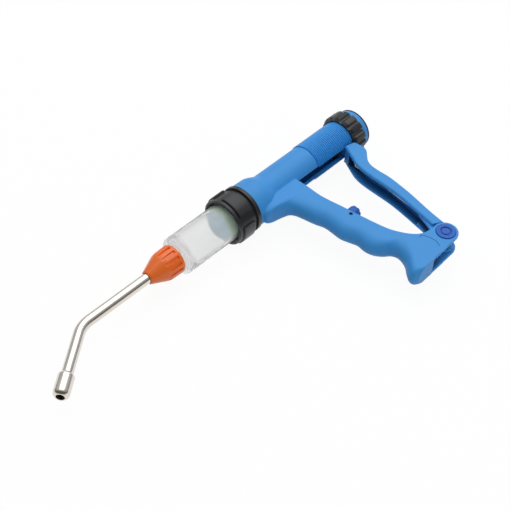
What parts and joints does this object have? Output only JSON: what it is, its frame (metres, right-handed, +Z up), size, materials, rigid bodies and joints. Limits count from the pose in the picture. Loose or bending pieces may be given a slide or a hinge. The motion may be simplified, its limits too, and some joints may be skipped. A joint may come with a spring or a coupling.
{
  "type": "livestock drencher",
  "caption": "Hand drench gun for dosing livestock: pistol grip with squeeze lever, clear dosing barrel, knurled dose ring and bent steel nozzle.",
  "frame": {"origin": "mouth of the feed socket at the rear, on the barrel axis", "axes": "lying on its side: +X along the barrel to the rear, -Y down the handle, +Z up across the flat sides"},
  "size_m": [0.3172, 0.1451, 0.0372],
  "materials": {
    "blue_plastic": "satin moulded",
    "sleeve_blue_plastic": "satin moulded",
    "deep_blue_plastic": "satin moulded",
    "black_plastic": "satin moulded",
    "black_rubber": "matt",
    "frosted_plastic": "frosted translucent",
    "orange_plastic": "satin moulded",
    "polished_steel": "polished",
    "plain_steel": "drawn and ground",
    "piston_plastic": "satin moulded",
    "seal_rubber": "smooth",
    "spool_plastic": "satin moulded"
  },
  "bodies": {
    "housing": {"body_housing": "blue_plastic", "barrel_nut": "black_plastic", "barrel_gasket": "black_rubber", "barrel": "frosted_plastic", "outlet_spring": "plain_steel", "nozzle_nut": "orange_plastic", "nozzle_seal": "black_rubber", "dose_sleeve": "sleeve_blue_plastic", "end_cap": "blue_plastic", "end_ring": "black_plastic", "pivot_pin": "plain_steel", "pivot_cap": "deep_blue_plastic", "pivot_cap_far": "deep_blue_plastic", "knob_keeper": "plain_steel"},
    "lever_arm": {"lever": "blue_plastic", "torsion_spring": "plain_steel"},
    "plunger": {"plunger_rod": "plain_steel", "drive_spool": "spool_plastic", "feed_tail": "plain_steel", "piston": "piston_plastic", "piston_seal": "seal_rubber"},
    "inlet_valve_ball": {"inlet_ball": "plain_steel"},
    "outlet_valve_ball": {"outlet_ball": "plain_steel"},
    "dose_adjuster": {"dose_ring": "black_plastic"},
    "stop_spindle": {"stop_screw": "plain_steel"},
    "stop_knob_body": {"stop_knob": "deep_blue_plastic"},
    "nozzle": {"nozzle_tube": "polished_steel", "nozzle_tip": "polished_steel"}
  },
  "joints": [
    {"name": "lever_pivot", "type": "hinge", "parent": "housing", "child": "lever_arm", "pos_m": [-0.0474, -0.1177, 0], "axis": [0, 0, 1], "range_deg": [0, 18.7], "stiffness_Nm_per_rad": 1.5, "springref_deg": -34.38, "deforming": ["torsion_spring"]},
    {"name": "plunger_slide", "type": "slide", "parent": "housing", "child": "plunger", "axis": [-1, 0, 0], "range_m": [0, 0.0361]},
    {"name": "inlet_valve", "type": "slide", "parent": "plunger", "child": "inlet_valve_ball", "axis": [-1, 0, 0], "range_m": [0, 0.001]},
    {"name": "outlet_valve", "type": "slide", "parent": "housing", "child": "outlet_valve_ball", "axis": [-1, 0, 0], "range_m": [0, 0.0016], "stiffness_N_per_m": 60, "springref_m": -0.003, "deforming": ["outlet_spring"]},
    {"name": "dose_ring_turn", "type": "hinge", "parent": "housing", "child": "dose_adjuster", "pos_m": [-0.0114, 0, 0], "axis": [1, 0, 0], "range_deg": [0, 360]},
    {"name": "stop_screw_feed", "type": "slide", "parent": "housing", "child": "stop_spindle", "axis": [1, 0, 0], "range_m": [0, 0.004]},
    {"name": "stop_knob_turn", "type": "hinge", "parent": "stop_spindle", "child": "stop_knob_body", "pos_m": [-0.0719, -0.0575, 0], "axis": [1, 0, 0], "range_deg": [0, 1442]},
    {"name": "nozzle_swivel", "type": "hinge", "parent": "housing", "child": "nozzle", "pos_m": [-0.2023, 0, 0], "axis": [1, 0, 0], "continuous": true}
  ],
  "couplings": [
    {"joint": "plunger_slide", "follows": "lever_pivot", "m_per_rad": 0.11019},
    {"joint": "stop_knob_turn", "follows": "stop_screw_feed", "rad_per_m": 6283.2}
  ]
}
